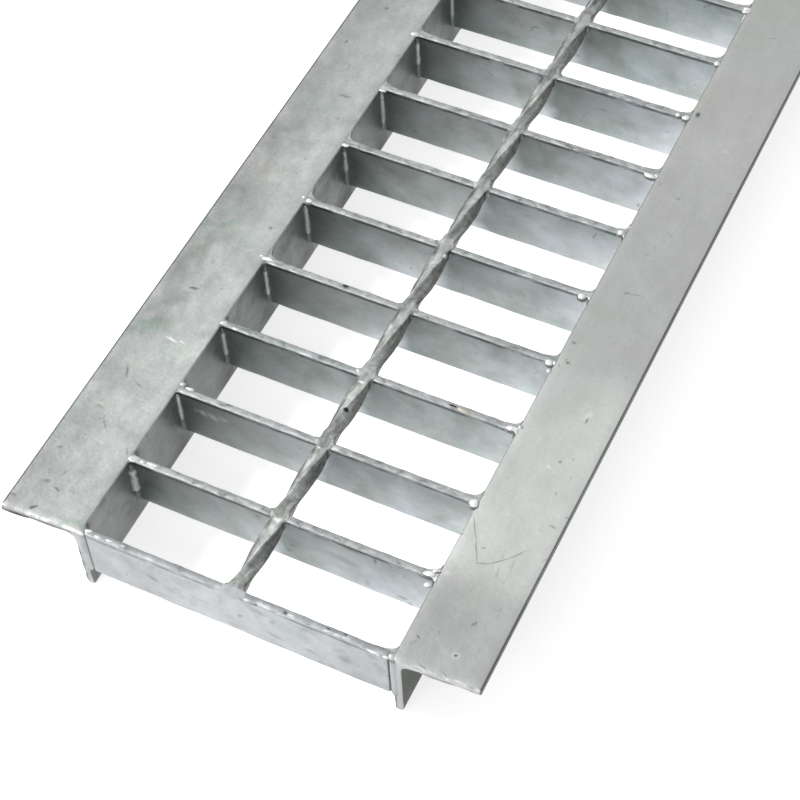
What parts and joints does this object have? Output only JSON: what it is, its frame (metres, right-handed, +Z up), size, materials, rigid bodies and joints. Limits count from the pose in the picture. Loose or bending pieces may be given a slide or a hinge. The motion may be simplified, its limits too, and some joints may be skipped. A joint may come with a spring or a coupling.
{
  "type": "pressure-welded grating",
  "caption": "Drop-in steel ditch grating: flanged angles along both sides, upright flat bars between them and a twisted square rod forge-welded flush along the centre.",
  "frame": {"origin": "middle of the length and width, on the plane of the legs' lower edges that it stands on", "axes": "+X across the grating, +Y along its length, +Z up through the walking surface"},
  "size_m": [0.193, 0.9982, 0.0357],
  "materials": {
    "galvanised_angle": "hot-dip galvanised, dull and cloudy",
    "galvanised_bar": "hot-dip galvanised, dull, with zinc runs at the edges",
    "galvanised_rod": "hot-dip galvanised over forged facets",
    "galvanised_weld": "weld beads under zinc"
  },
  "bodies": {
    "root": {"angle_left": "galvanised_angle", "angle_right": "galvanised_angle", "end_bar_front": "galvanised_bar", "bearing_bar_02": "galvanised_bar", "bearing_bar_03": "galvanised_bar", "bearing_bar_04": "galvanised_bar", "bearing_bar_05": "galvanised_bar", "bearing_bar_06": "galvanised_bar", "bearing_bar_07": "galvanised_bar", "bearing_bar_08": "galvanised_bar", "bearing_bar_09": "galvanised_bar", "bearing_bar_10": "galvanised_bar", "bearing_bar_11": "galvanised_bar", "bearing_bar_12": "galvanised_bar", "bearing_bar_13": "galvanised_bar", "bearing_bar_14": "galvanised_bar", "bearing_bar_15": "galvanised_bar", "bearing_bar_16": "galvanised_bar", "bearing_bar_17": "galvanised_bar", "bearing_bar_18": "galvanised_bar", "bearing_bar_19": "galvanised_bar", "bearing_bar_20": "galvanised_bar", "bearing_bar_21": "galvanised_bar", "bearing_bar_22": "galvanised_bar", "bearing_bar_23": "galvanised_bar", "bearing_bar_24": "galvanised_bar", "bearing_bar_25": "galvanised_bar", "bearing_bar_26": "galvanised_bar", "bearing_bar_27": "galvanised_bar", "bearing_bar_28": "galvanised_bar", "end_bar_back": "galvanised_bar", "twisted_rod": "galvanised_rod", "welds_left": "galvanised_weld", "welds_right": "galvanised_weld"}
  },
  "joints": []
}
